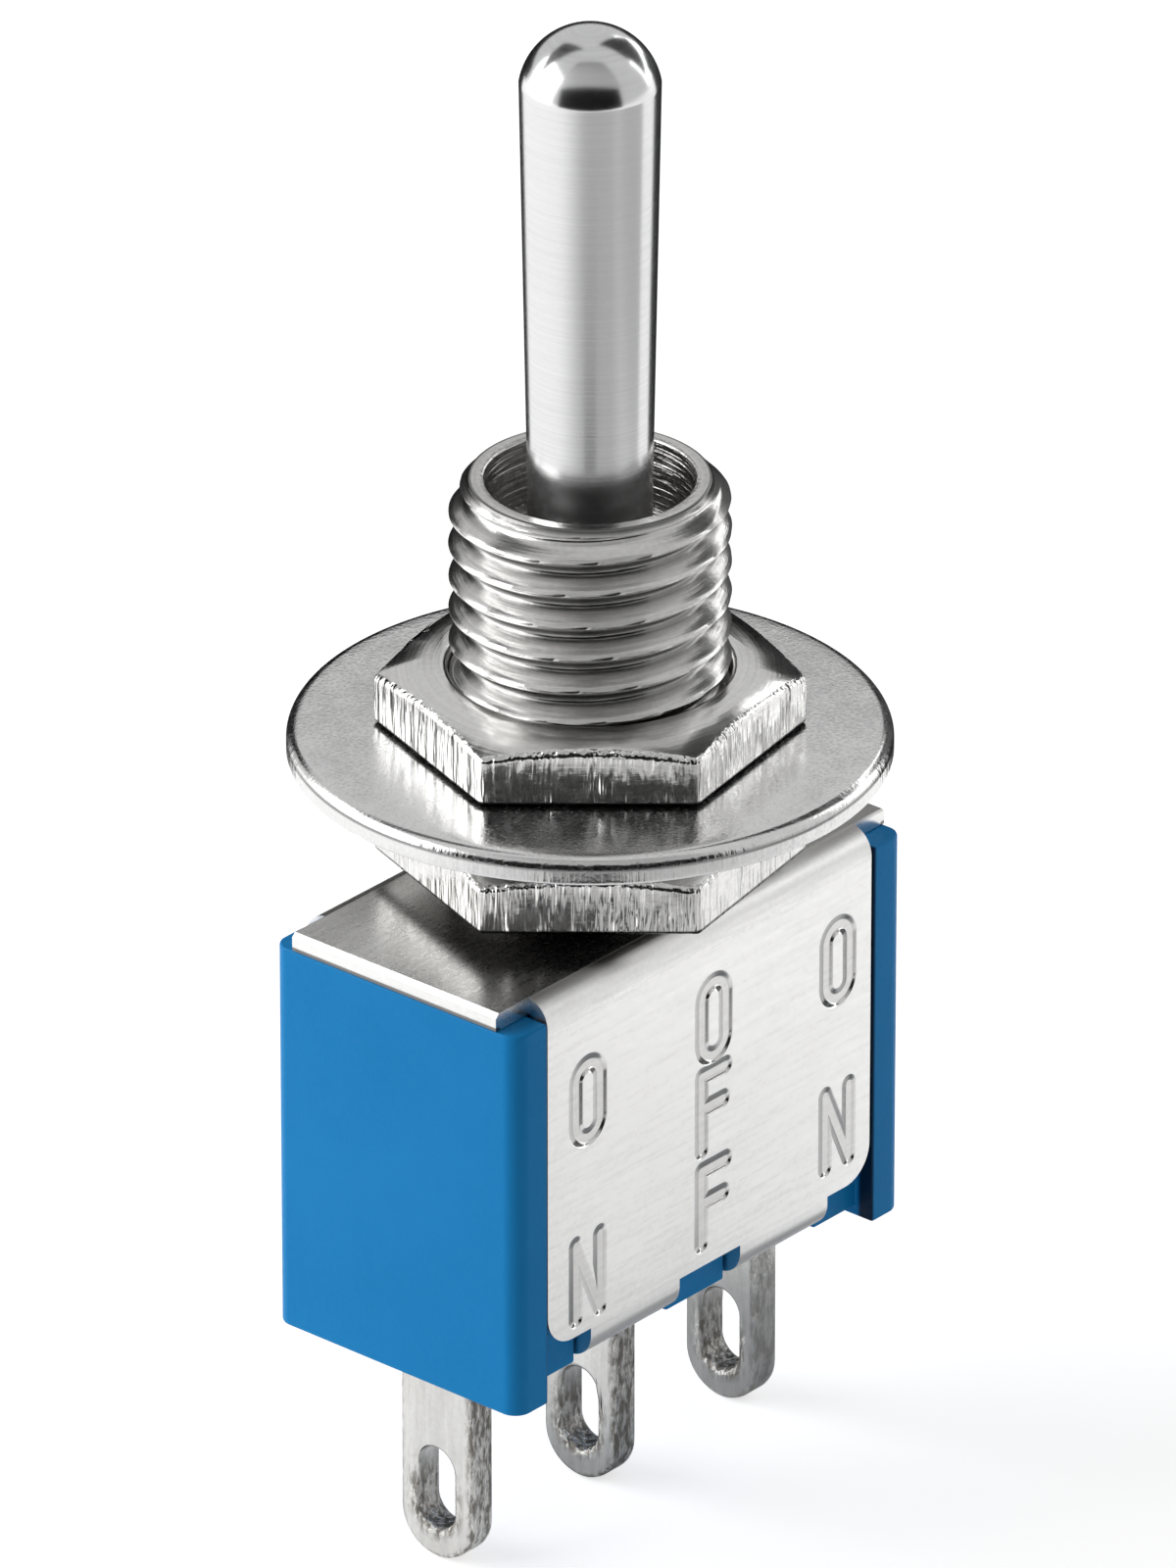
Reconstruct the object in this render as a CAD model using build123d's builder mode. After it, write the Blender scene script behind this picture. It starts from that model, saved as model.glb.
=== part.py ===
from build123d import *
import os
from math import asin, cos, radians, sin, sqrt, tan

# Miniature panel toggle switch with three positions and solder lugs, in millimetres.
# The origin is on the bushing's axis, at the top face of the steel bracket.
# +Z runs up the lever and +X along the row of terminals, which is the way the lever tips.

# Moulded housing
body_length = 12.7
rail_span = 6.86
body_height = 9.5
end_wall = 0.85
side_wall = 0.76
rail_width = 1.0
rail_round = 0.4
floor_thickness = 0.85
foot_height = 0.25

# Sheet steel bracket
sheet = 0.4
bracket_span = 6.76
bend_inside = 0.2
flap_depth = 8.3
flap_corner = 0.8
plate_setback = 0.53
tab_width = 2.9
tab_offset = 2.45
tab_reach = 0.88
tab_drop = 0.8

# Threaded bushing, M6 x 0.75
thread_diameter = 6.0
bushing_height = 9.3
thread_pitch = 0.75
thread_depth = 0.42
thread_mouth = 0.7
thread_relief = 0.08
rim_chamfer = 0.46
rim_bore = 4.48
neck_bore = 3.9
neck_rise = 1.55
neck_taper = 0.4
lower_bore = 4.4
foot_bore = 5.2
flare_height = 1.5
flange_length = 7.8
flange_width = 5.5
flange_thickness = 0.6

# Lever
pivot_height = 5.6
ball_diameter = 4.3
tip_diameter = 3.0
waist_diameter = 2.66
lever_height = 18.58
dome_height = 1.12
stem_diameter = 2.0
stem_end = 1.2
trunnion_diameter = 1.0
trunnion_span = 4.9

# Plunger and its spring
spring_bore = 1.44
chamber_top = 4.0
plunger_shank = 1.36
plunger_top = 1.0
plunger_head = 2.0
head_top = 2.2
head_straight = 1.0
nose_radius = 0.45
works_height = 4.6
spring_diameter = 1.32
spring_wire = 0.18
spring_turns = 6

# Rocker, the moving contact
strip_thickness = 0.4
strip_width = 1.9
strip_length = 9.4
cam_radius = 4.7
crest_reach = 2.5
tail_length = 1.45
keel_radius = 1.0
keel_depth = 0.12
rocker_tilt = 9.0
ear_width = 1.1
ear_thickness = 0.34
ear_drop = 0.95
button_diameter = 1.2
button_height = 0.35
button_reach = 3.9

# Terminals
terminal_pitch = 4.7
lug_width = 2.0
lug_thickness = 0.8
lug_end = 14.6
eyelet_width = 1.0
eyelet_length = 1.95
eyelet_margin = 0.7
shoulder_width = 2.6
shoulder_height = 0.5
pad_length = 2.1
pad_bend = 0.85
head_diameter = 1.2
head_height = 0.35
head_crown = 1.5

# Nuts and washers
nut_flats = 8.0
nut_height = 1.45
nut_ring = 7.0
nut_cone = 18.0
nut_turn = 10.4
lower_nut_seat = 0.47
lock_diameter = 9.2
lock_height = 1.0
lock_thickness = 0.4
lock_ring = 0.7
tooth_count = 10
tooth_width = 1.5
tooth_twist = 30.0
washer_diameter = 12.9
washer_thickness = 0.6
washer_edge = 0.3

# Clearances
slip = 0.02
running = 0.04
swing = 0.05
contact_gap = 0.05
washer_gap = 0.15

# Places worked out from the sizes above
half_length = body_length / 2
half_rails = rail_span / 2
half_bracket = bracket_span / 2
flap_half = half_length - rail_width - swing
core_half = half_bracket - sheet - slip
base_level = -body_height
side_bottom = base_level + foot_height
floor_level = side_bottom + floor_thickness
tab_top = -(flap_depth + tab_drop) + sheet
thread_radius = thread_diameter / 2
plunger_tip = body_height - works_height
flange_bottom = -sheet - flange_thickness
nut_corner = nut_flats / sqrt(3)
nut_bore = thread_diameter + 2 * slip
lock_level = lower_nut_seat + nut_height
washer_level = lock_level + lock_height
upper_nut_seat = washer_level + washer_thickness
arm_top = -plunger_tip - running
arm_bottom = arm_top - strip_thickness
crest_rise = cam_radius - sqrt(cam_radius**2 - crest_reach**2)
rocker_pivot = arm_bottom - keel_depth + keel_radius
cradle_radius = keel_radius + slip
button_bottom = arm_bottom - button_height
rocker_swing = radians(rocker_tilt)
button_arm = rocker_pivot - button_bottom
closed_reach = button_reach * cos(rocker_swing) - button_arm * sin(rocker_swing)
closed_level = rocker_pivot - button_reach * sin(rocker_swing) - button_arm * cos(rocker_swing)
contact_level = closed_level - contact_gap
pad_level = contact_level - head_height

os.makedirs("parts", exist_ok=True)


def finish(piece, name):
    """Name a finished piece and write it under that name."""
    piece.part.label = name
    export_step(piece.part, f"parts/{name}.step")


# Housing: a moulded cup whose corner rails stand out past the steel flaps
with BuildPart() as housing:
    with BuildSketch(Plane.XY.offset(base_level)):
        RectangleRounded(body_length, rail_span, rail_round)
    extrude(amount=body_height - sheet - slip)
    with BuildSketch(Plane.XY.offset(base_level)):
        for side in (-1, 1):
            with Locations((0, side * core_half)):
                Rectangle(
                    2 * (flap_half + swing),
                    rail_span,
                    align=(Align.CENTER, Align.MIN if side > 0 else Align.MAX),
                )
    extrude(amount=body_height, mode=Mode.SUBTRACT)
    # the well that holds the contacts
    with BuildSketch(Plane.XY.offset(floor_level)):
        Rectangle(body_length - 2 * end_wall, 2 * (core_half - side_wall))
    extrude(amount=body_height, mode=Mode.SUBTRACT)
    # the long walls stop below the bracket's bends, and lower still under the flange
    with BuildSketch(Plane.XY.offset(-sheet - bend_inside - slip)):
        Rectangle(2 * (flap_half + swing), rail_span)
    extrude(amount=body_height, mode=Mode.SUBTRACT)
    with BuildSketch(Plane.XY.offset(flange_bottom - slip)):
        Rectangle(flange_length + 2 * swing, rail_span)
    extrude(amount=body_height, mode=Mode.SUBTRACT)
    # the end walls stand a little lower than the floor, as feet
    with BuildSketch(Plane.XY.offset(base_level)):
        Rectangle(2 * (half_length - rail_width), rail_span)
    extrude(amount=foot_height, mode=Mode.SUBTRACT)
    # pockets under the long edges, where the bracket's tabs are folded in
    with BuildSketch(Plane.XY.offset(base_level)):
        with GridLocations(2 * tab_offset, 2 * (half_bracket - sheet), 2, 2):
            Rectangle(tab_width + 2 * swing, 2 * tab_reach + 2 * swing)
    extrude(amount=tab_top + slip - base_level, mode=Mode.SUBTRACT)
    with BuildSketch(Plane.XY.offset(base_level)):
        with GridLocations(2 * tab_offset, 2 * core_half, 2, 2):
            Rectangle(tab_width + 2 * swing, 2 * bend_inside)
    extrude(amount=tab_top + bend_inside + slip - base_level, mode=Mode.SUBTRACT)
    # slots in the floor for the three terminals
    with BuildSketch(Plane.XY.offset(base_level)):
        with GridLocations(terminal_pitch, 0, 3, 1):
            Rectangle(lug_thickness + 2 * slip, lug_width + 2 * slip)
    extrude(amount=body_height - sheet, mode=Mode.SUBTRACT)
finish(housing, "housing")

# Bracket: one strip of steel folded down both long sides, with tabs turned under
with BuildPart() as bracket:
    with BuildSketch(Plane.YZ.offset(-flap_half)):
        with Locations((0, -(flap_depth + tab_drop) / 2)):
            RectangleRounded(bracket_span, flap_depth + tab_drop, bend_inside + sheet)
            RectangleRounded(
                bracket_span - 2 * sheet,
                flap_depth + tab_drop - 2 * sheet,
                bend_inside,
                mode=Mode.SUBTRACT,
            )
        with Locations((0, -(flap_depth + tab_drop))):
            Rectangle(bracket_span - 2 * sheet - 2 * tab_reach, 4 * sheet, mode=Mode.SUBTRACT)
    extrude(amount=2 * flap_half)
    # the front view of the flaps, which trims them to rounded corners and two tabs a side
    with BuildSketch(Plane.XZ.offset(-bracket_span)):
        with Locations((0, -flap_depth)):
            Rectangle(2 * flap_half, flap_depth, align=(Align.CENTER, Align.MIN))
        flap_ends = faces().vertices().group_by(Axis.Y)[0]
        fillet(flap_ends, flap_corner)
        with Locations((-tab_offset, -flap_depth), (tab_offset, -flap_depth)):
            Rectangle(tab_width, 2 * tab_drop)
    extrude(amount=2 * bracket_span, mode=Mode.INTERSECT)
    # the top plate runs out over the end walls
    with BuildSketch():
        Rectangle(body_length, bracket_span - 2 * plate_setback)
    extrude(amount=-sheet)
    with BuildSketch():
        Circle(thread_radius + slip)
    extrude(amount=-sheet, mode=Mode.SUBTRACT)
    plate_ends = bracket.edges().filter_by(Axis.Y).group_by(Axis.Z)[-1].group_by(SortBy.DISTANCE)[-1]
    chamfer(plate_ends, sheet / 4)
finish(bracket, "bracket")

# The groove between the bushing's threads, wound from the panel side to past the rim
with BuildPart() as thread_groove:
    with BuildLine():
        wind = Helix(
            pitch=thread_pitch,
            height=bushing_height - thread_pitch,
            radius=thread_radius,
            center=(0, 0, thread_pitch / 2),
        )
    with BuildSketch(Plane(origin=wind @ 0, x_dir=(1, 0, 0), z_dir=wind % 0)):
        with BuildLine():
            Polyline(
                (-thread_depth, 0),
                (thread_relief, thread_mouth / 2),
                (thread_relief, -thread_mouth / 2),
                close=True,
            )
        make_face()
    sweep(path=wind, is_frenet=True)

# Bushing: threaded barrel with a ball seat inside and a flange under the bracket
with BuildPart() as bushing:
    with BuildSketch(Plane.XY.offset(flange_bottom)):
        Circle(flange_length / 2)
        Rectangle(flange_length, flange_width, mode=Mode.INTERSECT)
    extrude(amount=flange_thickness)
    with BuildSketch(Plane.XZ):
        with BuildLine():
            Polyline(
                (lower_bore / 2, -sheet),
                (thread_radius, -sheet),
                (thread_radius, bushing_height - rim_chamfer),
                (thread_radius - rim_chamfer, bushing_height),
                (rim_bore / 2, bushing_height),
                (rim_bore / 2, pivot_height + neck_rise + neck_taper),
                (neck_bore / 2, pivot_height + neck_rise),
                (neck_bore / 2, pivot_height),
                (lower_bore / 2, pivot_height),
                close=True,
            )
        make_face()
    revolve(axis=Axis.Z)
    # the flared foot of the bore, then the seat for the ball
    with BuildSketch(Plane.XY.offset(flange_bottom)):
        Circle(foot_bore / 2)
    with BuildSketch(Plane.XY.offset(flare_height)):
        Circle(lower_bore / 2)
    loft(mode=Mode.SUBTRACT)
    with Locations((0, 0, pivot_height)):
        Sphere(ball_diameter / 2 + running, mode=Mode.SUBTRACT)
    # two keyways for the trunnions, open at the foot
    with BuildSketch(Plane.XZ):
        with Locations((0, pivot_height)):
            Circle(trunnion_diameter / 2 + swing)
        with Locations((0, flange_bottom)):
            Rectangle(
                trunnion_diameter + 2 * swing,
                pivot_height - flange_bottom,
                align=(Align.CENTER, Align.MIN),
            )
    extrude(amount=trunnion_span / 2 + swing, both=True, mode=Mode.SUBTRACT)
    add(thread_groove.part, mode=Mode.SUBTRACT)
finish(bushing, "bushing")

# Lever: turned bat with a domed tip, a pivot ball and a hollow stem for the spring
dome_radius = ((tip_diameter / 2) ** 2 + dome_height**2) / (2 * dome_height)
dome_centre = lever_height + dome_height - dome_radius
dome_half = asin(tip_diameter / 2 / dome_radius) / 2
with BuildPart() as lever:
    with BuildSketch(Plane.XZ):
        with BuildLine():
            flank = Polyline(
                (0, pivot_height),
                (waist_diameter / 2, pivot_height),
                (waist_diameter / 2, bushing_height),
                (tip_diameter / 2, lever_height),
            )
            dome = ThreePointArc(
                flank @ 1,
                (dome_radius * sin(dome_half), dome_centre + dome_radius * cos(dome_half)),
                (0, dome_centre + dome_radius),
            )
            Line(dome @ 1, (0, pivot_height))
        make_face()
    revolve(axis=Axis.Z)
    with Locations((0, 0, pivot_height)):
        Sphere(ball_diameter / 2)
    with BuildSketch(Plane.XY.offset(-stem_end)):
        Circle(stem_diameter / 2)
    extrude(amount=stem_end + pivot_height)
    with BuildSketch(Plane.XZ):
        with Locations((0, pivot_height)):
            Circle(trunnion_diameter / 2)
    extrude(amount=trunnion_span / 2, both=True)
    with BuildSketch(Plane.XY.offset(-stem_end)):
        Circle(spring_bore / 2)
    extrude(amount=stem_end + chamber_top, mode=Mode.SUBTRACT)
finish(lever, "lever")

# Plunger: moulded nylon, pushed down on the rocker by the spring
with BuildPart() as plunger:
    with BuildSketch(Plane.XZ):
        with BuildLine():
            nose = ThreePointArc(
                (0, -plunger_tip),
                (nose_radius * sin(radians(35)), nose_radius * (1 - cos(radians(35))) - plunger_tip),
                (nose_radius * sin(radians(70)), nose_radius * (1 - cos(radians(70))) - plunger_tip),
            )
            Polyline(
                nose @ 1,
                (plunger_head / 2, -head_top - head_straight),
                (plunger_head / 2, -head_top),
                (plunger_shank / 2, -head_top),
                (plunger_shank / 2, plunger_top),
                (0, plunger_top),
                (0, -plunger_tip),
            )
        make_face()
    revolve(axis=Axis.Z)
finish(plunger, "plunger")

# Spring: a coil in the lever's stem, between the plunger and the end of its chamber
spring_rise = chamber_top - plunger_top - spring_wire - 2 * slip
spring_foot = plunger_top + spring_wire / 2 + slip
coil_radius = (spring_diameter - spring_wire) / 2
with BuildPart() as plunger_spring:
    with BuildLine():
        coil = Helix(
            pitch=spring_rise / spring_turns,
            height=spring_rise,
            radius=coil_radius,
            center=(0, 0, spring_foot),
        )
    with BuildSketch(Plane(origin=coil @ 0, z_dir=coil % 0)):
        Circle(spring_wire / 2)
    sweep(path=coil, is_frenet=True)
finish(plunger_spring, "plunger_spring")

# Rocker: copper strip whose middle is curved as the plunger's track, with a half-round
# keel underneath and an ear on each side to keep it on the centre terminal
with BuildPart() as rocker:
    crest_level = arm_top + crest_rise
    tail_reach = strip_length / 2 - tail_length
    with BuildSketch(Plane.XZ.offset(-strip_width / 2)):
        with Locations((0, rocker_pivot)):
            Circle(keel_radius)
        with Locations((0, arm_bottom + strip_thickness / 2)):
            Rectangle(
                2 * keel_radius,
                2 * keel_radius,
                align=(Align.CENTER, Align.MIN),
                mode=Mode.SUBTRACT,
            )
        with BuildLine():
            ThreePointArc(
                (-crest_reach, crest_level),
                (0, arm_top),
                (crest_reach, crest_level),
            )
            Polyline(
                (crest_reach, crest_level),
                (tail_reach, arm_top),
                (strip_length / 2, arm_top),
                (strip_length / 2, arm_bottom),
                (tail_reach, arm_bottom),
                (crest_reach, crest_level - strip_thickness),
            )
            ThreePointArc(
                (crest_reach, crest_level - strip_thickness),
                (0, arm_bottom),
                (-crest_reach, crest_level - strip_thickness),
            )
            Polyline(
                (-crest_reach, crest_level - strip_thickness),
                (-tail_reach, arm_bottom),
                (-strip_length / 2, arm_bottom),
                (-strip_length / 2, arm_top),
                (-tail_reach, arm_top),
                (-crest_reach, crest_level),
            )
        make_face()
    extrude(amount=strip_width)
    ear_inside = lug_width / 2 + swing
    with BuildSketch(Plane.XY.offset(arm_bottom - ear_drop)):
        Rectangle(ear_width, 2 * (ear_inside + ear_thickness))
        Rectangle(ear_width, 2 * ear_inside, mode=Mode.SUBTRACT)
    extrude(amount=ear_drop + strip_thickness)
    with BuildSketch(Plane.XY.offset(arm_bottom)):
        Rectangle(ear_width, 2 * (ear_inside + ear_thickness))
    extrude(amount=strip_thickness)
finish(rocker, "rocker")

for side, name in ((-1, "left"), (1, "right")):
    # silver button under each arm of the rocker
    with BuildPart() as button:
        with BuildSketch(Plane.XY.offset(button_bottom)):
            with Locations((side * button_reach, 0)):
                Circle(button_diameter / 2)
        extrude(amount=button_height)
    finish(button, f"rocker_contact_{name}")

    # silver rivet head on the end terminal's pad, slightly domed
    with BuildPart() as contact:
        with BuildSketch(Plane.XY.offset(pad_level)):
            with Locations((side * closed_reach, 0)):
                Circle(head_diameter / 2)
        extrude(amount=head_height)
        with Locations((side * closed_reach, 0, contact_level - head_crown)):
            Sphere(head_crown, mode=Mode.INTERSECT)
    finish(contact, f"contact_{name}")


def lug_outline():
    """Draw a solder lug from its rounded end up to the floor, with its long eyelet."""
    with Locations((0, (floor_level - lug_end + lug_width / 2) / 2)):
        Rectangle(lug_width, floor_level + lug_end - lug_width / 2)
    with Locations((0, lug_width / 2 - lug_end)):
        Circle(lug_width / 2)
    with Locations((0, eyelet_margin + eyelet_length / 2 - lug_end)):
        SlotOverall(eyelet_length, eyelet_width, rotation=90, mode=Mode.SUBTRACT)


# Centre terminal: straight strip whose top is hollowed as the rocker's cradle
with BuildPart() as centre:
    with BuildSketch(Plane.YZ.offset(-lug_thickness / 2)):
        lug_outline()
        with Locations((0, floor_level)):
            Rectangle(shoulder_width, shoulder_height, align=(Align.CENTER, Align.MIN))
            Rectangle(
                lug_width,
                rocker_pivot - keel_radius / 2 - floor_level,
                align=(Align.CENTER, Align.MIN),
            )
    extrude(amount=lug_thickness)
    with BuildSketch(Plane.XZ):
        with Locations((0, rocker_pivot)):
            Circle(cradle_radius)
    extrude(amount=shoulder_width, both=True, mode=Mode.SUBTRACT)
finish(centre, "terminal_centre")

# End terminals: the strip turns inwards above the floor as a pad for the contact
for side, name in ((-1, "left"), (1, "right")):
    with BuildPart() as terminal:
        with BuildSketch(Plane.YZ.offset(side * terminal_pitch - lug_thickness / 2)):
            lug_outline()
            with Locations((0, floor_level)):
                Rectangle(shoulder_width, shoulder_height, align=(Align.CENTER, Align.MIN))
        extrude(amount=lug_thickness)
        with BuildSketch(Plane.XZ.offset(-lug_width / 2)):
            outer_face = side * (terminal_pitch + lug_thickness / 2)
            with BuildLine():
                Polyline(
                    (outer_face - side * lug_thickness, floor_level),
                    (outer_face, floor_level),
                    (outer_face, pad_level),
                    (outer_face - side * pad_length, pad_level),
                    (outer_face - side * pad_length, pad_level - lug_thickness),
                    (outer_face - side * lug_thickness, pad_level - lug_thickness),
                    close=True,
                )
            make_face()
            bend = vertices().sort_by_distance((outer_face, 0, pad_level))[0]
            fillet(bend, pad_bend)
        extrude(amount=lug_width)
    finish(terminal, f"terminal_{name}")


def hex_nut(seat, name):
    """One hexagon nut, its upper corners turned down by a cone, standing on a level."""
    with BuildPart() as nut:
        with BuildSketch(Plane.XY.offset(seat)):
            RegularPolygon(nut_corner, 6, rotation=nut_turn)
        extrude(amount=nut_height)
        with BuildSketch(Plane.XZ):
            drop = (nut_corner - nut_ring / 2) * tan(radians(nut_cone))
            with BuildLine():
                Polyline(
                    (nut_bore / 2, seat),
                    (nut_corner, seat),
                    (nut_corner, seat + nut_height - drop),
                    (nut_ring / 2, seat + nut_height),
                    (nut_bore / 2, seat + nut_height),
                    close=True,
                )
            make_face()
        revolve(axis=Axis.Z, mode=Mode.INTERSECT)
    finish(nut, name)


hex_nut(lower_nut_seat, "lower_nut")
hex_nut(upper_nut_seat, "upper_nut")

# Lock washer: flat ring with twisted inner teeth that reach from the nut to the washer
with BuildPart() as lock_washer:
    ring_inside = lock_diameter / 2 - lock_ring
    tooth_end = thread_radius + washer_gap
    with Locations((0, 0, lock_level + lock_height / 2)):
        Cylinder(lock_diameter / 2, lock_thickness)
        Cylinder(ring_inside, lock_thickness, mode=Mode.SUBTRACT)
        with PolarLocations(0, tooth_count):
            with Locations(Location((tooth_end, 0, 0), (tooth_twist, 0, 0))):
                Box(
                    ring_inside + swing - tooth_end,
                    tooth_width,
                    lock_thickness,
                    align=(Align.MIN, Align.CENTER, Align.CENTER),
                )
        Cylinder(lock_diameter / 2, lock_height, mode=Mode.INTERSECT)
finish(lock_washer, "lock_washer")

# Flat washer, its upper edge rolled over by the press
with BuildPart() as washer:
    with BuildSketch(Plane.XY.offset(washer_level)):
        Circle(washer_diameter / 2)
        Circle(thread_radius + washer_gap, mode=Mode.SUBTRACT)
    extrude(amount=washer_thickness)
    outer_edge = washer.edges().group_by(Axis.Z)[-1].sort_by(SortBy.RADIUS)[-1]
    fillet(outer_edge, washer_edge)
finish(washer, "washer")
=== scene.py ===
from math import cos, pi, radians, sin, sqrt
from types import SimpleNamespace

import bmesh
import bpy
from mathutils import Matrix, Vector


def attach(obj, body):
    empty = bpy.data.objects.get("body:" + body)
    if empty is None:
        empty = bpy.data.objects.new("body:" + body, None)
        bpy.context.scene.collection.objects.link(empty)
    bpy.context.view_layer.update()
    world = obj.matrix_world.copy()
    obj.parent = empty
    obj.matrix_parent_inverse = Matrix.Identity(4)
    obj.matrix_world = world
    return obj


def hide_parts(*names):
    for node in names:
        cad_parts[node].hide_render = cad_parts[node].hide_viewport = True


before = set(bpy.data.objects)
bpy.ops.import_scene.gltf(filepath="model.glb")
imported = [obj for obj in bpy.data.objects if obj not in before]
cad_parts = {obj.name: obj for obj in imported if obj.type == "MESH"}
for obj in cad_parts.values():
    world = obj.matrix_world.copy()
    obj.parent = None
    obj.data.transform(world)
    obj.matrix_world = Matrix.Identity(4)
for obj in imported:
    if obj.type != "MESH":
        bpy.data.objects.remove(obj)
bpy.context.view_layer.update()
MM = 0.001
scene = bpy.context.scene

# Sizes of the switch in mm: heights count from the bracket's plate, radii from the bushing's axis
BARREL_RADIUS = 3.0
BORE_RADIUS = 2.24
BUSHING_RIM = 9.3
THREAD_PITCH = 0.75
THREAD_DEPTH = 0.42
CHAMFER_RADIUS = 2.58
CHAMFER_FOOT = 8.84
FLANGE_RADIUS = 3.9
FLANGE_TOP = -0.4
FLANGE_FOOT = -1.0
PIVOT_HEIGHT = 5.6
LEVER_TIP = 19.7
DOME_CREASE = 18.43
LOWER_NUT_FOOT = 0.47
UPPER_NUT_FOOT = 3.52
NUT_HALF = 4.0
WASHER_RADIUS = 6.45
WASHER_HOLE = 3.15
WASHER_FOOT = 2.92
WASHER_TOP = 3.52
PLATE_HALF_LONG = 6.35
BRACKET_HALF_DEEP = 3.38
LUG_HALF_WIDE = 1.0
LUG_END = -14.6
EYELET_MIDDLE = -12.925
EYELET_HALF_RUN = 0.475
EYELET_HALF_WIDE = 0.5
FLOOR_LEVEL = -14.62


# The camera, at the photograph's angle

def place_camera():
    """A long lens from the front left and above, aimed so the switch fills the photograph's frame."""
    turn = radians(49.304)
    drop = radians(26.923)
    distance = 398.66
    pixels_per_mm = 48.166
    frame_wide, frame_tall = 1200, 1600
    mark_height = 4
    mark_across, mark_down = 602.19, 715.96
    sensor = 36
    right = Vector((cos(turn), -sin(turn), 0))
    forward = Vector((sin(turn) * cos(drop), cos(turn) * cos(drop), -sin(drop)))
    up = Vector((sin(turn) * sin(drop), cos(turn) * sin(drop), cos(drop)))
    aim = Vector((0, 0, mark_height)) + right * ((frame_wide / 2 - mark_across) / pixels_per_mm)
    aim -= up * ((frame_tall / 2 - mark_down) / pixels_per_mm)
    data = bpy.data.cameras.new("studio_camera")
    data.sensor_fit = "HORIZONTAL"
    data.sensor_width = sensor
    data.lens = sensor * distance / (frame_wide / pixels_per_mm)
    data.clip_start = 0.01
    data.clip_end = 20
    camera = bpy.data.objects.new("studio_camera", data)
    scene.collection.objects.link(camera)
    turned = Matrix((right, up, -forward)).transposed().to_4x4()
    turned.translation = (aim - forward * distance) * MM
    camera.matrix_world = turned
    scene.camera = camera
    return right, forward, up


view_right, view_forward, view_up = place_camera()
level_away = Vector((view_forward.x, view_forward.y, 0)).normalized()


# Node helpers

def feed(tree, socket, value):
    """Give a socket its own value, or link it from another socket."""
    if isinstance(value, bpy.types.NodeSocket):
        tree.links.new(value, socket)
    else:
        socket.default_value = value


def add_node(tree, kind, sockets=None, **settings):
    """Put a node in a tree, with its settings and what its sockets take."""
    made = tree.nodes.new(kind)
    for name, value in settings.items():
        setattr(made, name, value)
    for name, value in (sockets or {}).items():
        feed(tree, made.inputs[name], value)
    return made


def use_group(tree, group, sockets):
    """Place a node group in a tree with its own values."""
    return add_node(tree, "ShaderNodeGroup", sockets, node_tree=group)


def calc(tree, operation, *values):
    """One Math node, its result."""
    return add_node(tree, "ShaderNodeMath", dict(enumerate(values)), operation=operation).outputs[0]


def chain(tree, operation, first, *others):
    """The same Math operation over several values, one after another."""
    for other in others:
        first = calc(tree, operation, first, other)
    return first


def vector_node(tree, operation, *values):
    """One Vector Math node."""
    return add_node(tree, "ShaderNodeVectorMath", dict(enumerate(values)), operation=operation)


def vector_calc(tree, operation, *values):
    """One Vector Math node, its vector result."""
    return vector_node(tree, operation, *values).outputs[0]


def measure(tree, operation, *values):
    """One Vector Math node, its number: a length, a distance or a dot product."""
    return vector_node(tree, operation, *values).outputs["Value"]


def scaled(tree, vector, amount):
    """A vector times a number."""
    sockets = {0: vector, "Scale": amount}
    return add_node(tree, "ShaderNodeVectorMath", sockets, operation="SCALE").outputs[0]


def split(tree, vector):
    """The three parts of a vector."""
    return add_node(tree, "ShaderNodeSeparateXYZ", {0: vector}).outputs


def join(tree, x, y, z):
    """A vector from three parts."""
    return add_node(tree, "ShaderNodeCombineXYZ", {0: x, 1: y, 2: z}).outputs[0]


def blend_colours(tree, amount, first, second):
    """Mix two colours by an amount."""
    mix = add_node(tree, "ShaderNodeMix", data_type="RGBA")
    factor, colour_a, colour_b = mix.inputs[0], mix.inputs[6], mix.inputs[7]
    for socket, value in ((factor, amount), (colour_a, first), (colour_b, second)):
        feed(tree, socket, value)
    return mix.outputs[2]


def rescale(tree, value, low, high, new_low, new_high, **settings):
    """Map a value from one range to another, held at both ends."""
    ends = {0: value, 1: low, 2: high, 3: new_low, 4: new_high}
    return add_node(tree, "ShaderNodeMapRange", ends, **settings).outputs[0]


def fade(tree, length, start, end, before, after, **settings):
    """Go from one value to another between two lengths in mm, held outside them."""
    return rescale(tree, length, start * MM, end * MM, before, after, **settings)


def distance_from_axis(tree, point):
    """How far a point is from the bushing's axis, in metres."""
    return measure(tree, "LENGTH", vector_calc(tree, "MULTIPLY", point, (1, 1, 0)))


def new_group(name, inputs, outputs):
    """A shader node group with named inputs and outputs: (name, socket kind, default)."""
    group = bpy.data.node_groups.new(name, "ShaderNodeTree")
    for label, kind, value in inputs:
        socket = group.interface.new_socket(label, in_out="INPUT", socket_type=kind)
        if value is not None:
            socket.default_value = value
    for label, kind in outputs:
        group.interface.new_socket(label, in_out="OUTPUT", socket_type=kind)
    return group, group.nodes.new("NodeGroupInput"), group.nodes.new("NodeGroupOutput")


FLOAT = "NodeSocketFloat"
VECTOR = "NodeSocketVector"
FINE_NOISE = 0.6
SOFT_NOISE = 0.5
SMOOTHEST = 0.03


# Shared surface effects

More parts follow.
